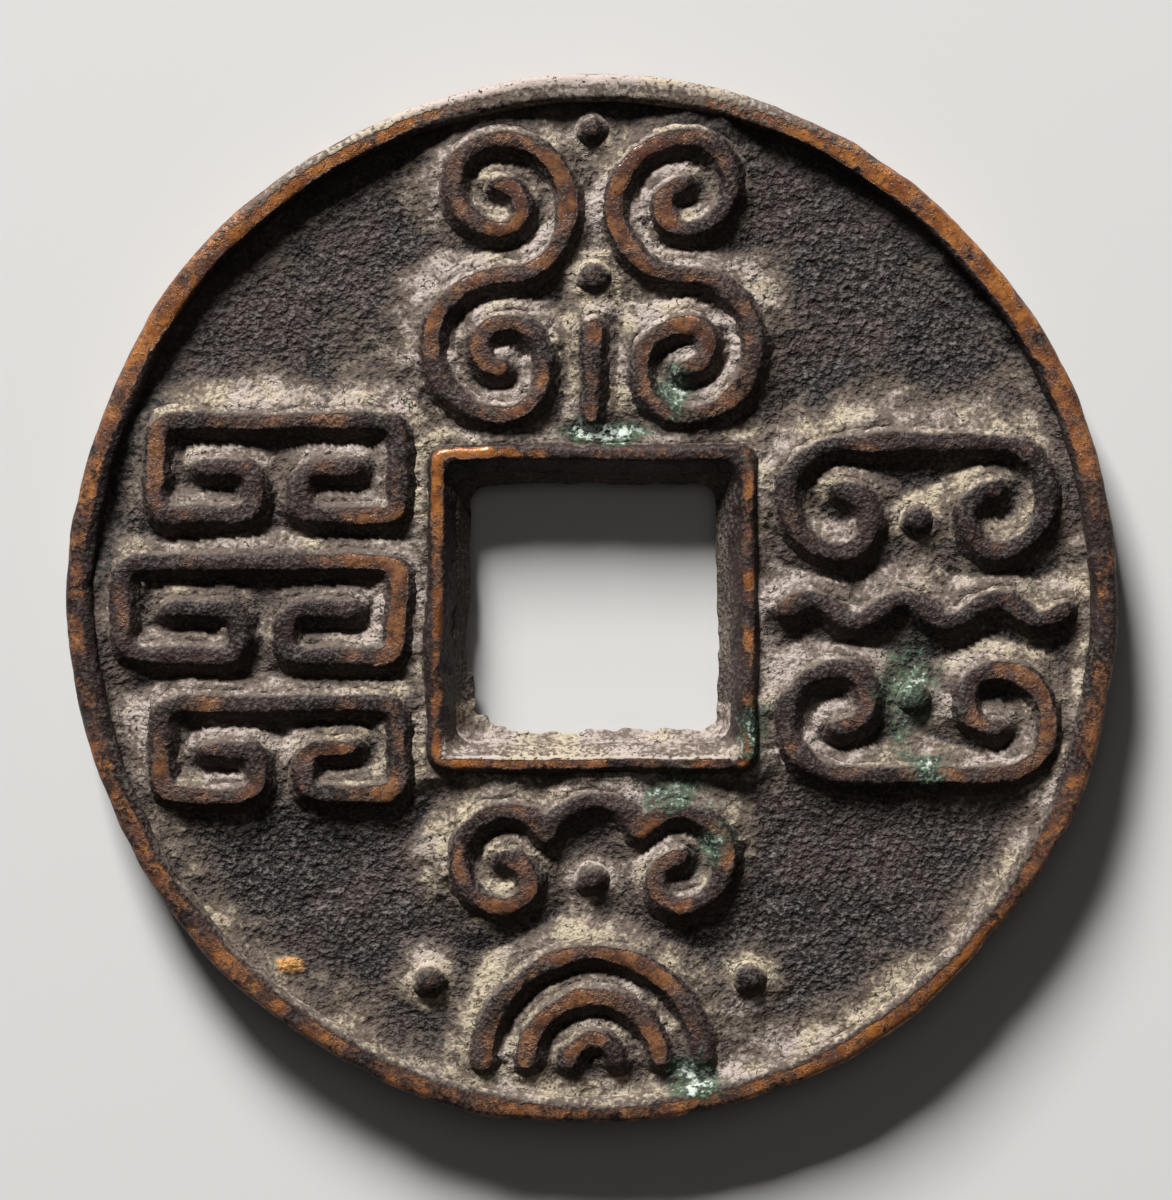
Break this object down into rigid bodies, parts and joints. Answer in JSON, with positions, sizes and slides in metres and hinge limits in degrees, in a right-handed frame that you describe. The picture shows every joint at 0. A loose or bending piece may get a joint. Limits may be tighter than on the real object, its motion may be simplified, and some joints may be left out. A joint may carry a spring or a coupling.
{
  "type": "cash coin",
  "caption": "Large round cast bronze cash coin with a square centre hole, raised rims on both faces and cloud, wave and fret relief on the face.",
  "frame": {"origin": "centre of the round outline, on the plane of the back rims", "axes": "+Z out of the ornamented face, +Y towards the top of the face, +X to its right"},
  "size_m": [0.045, 0.045, 0.0028],
  "materials": {
    "field_patina": "granular sand-cast bronze, dark brown patina with tan soil",
    "worn_rim": "worn copper-brown bronze, dark in the hollows",
    "relief_patina": "dark brown patina, rubbed through on the crowns"
  },
  "bodies": {
    "root": {"flan": "field_patina", "face_outer_rim": "worn_rim", "face_inner_rim": "worn_rim", "back_outer_rim": "worn_rim", "back_inner_rim": "worn_rim", "top_scroll_right": "relief_patina", "top_scroll_left": "relief_patina", "top_stem": "relief_patina", "top_pearl_inner": "relief_patina", "top_pearl_outer": "relief_patina", "right_cloud_upper": "relief_patina", "right_pearl_upper": "relief_patina", "right_cloud_lower": "relief_patina", "right_pearl_lower": "relief_patina", "right_ripple": "relief_patina", "bottom_wave_1": "relief_patina", "bottom_wave_2": "relief_patina", "bottom_wave_3": "relief_patina", "bottom_cloud_head": "relief_patina", "bottom_pearl_middle": "relief_patina", "bottom_pearl_right": "relief_patina", "bottom_pearl_left": "relief_patina", "left_fret_upper": "relief_patina", "left_fret_middle": "relief_patina", "left_fret_lower": "relief_patina"}
  },
  "joints": []
}
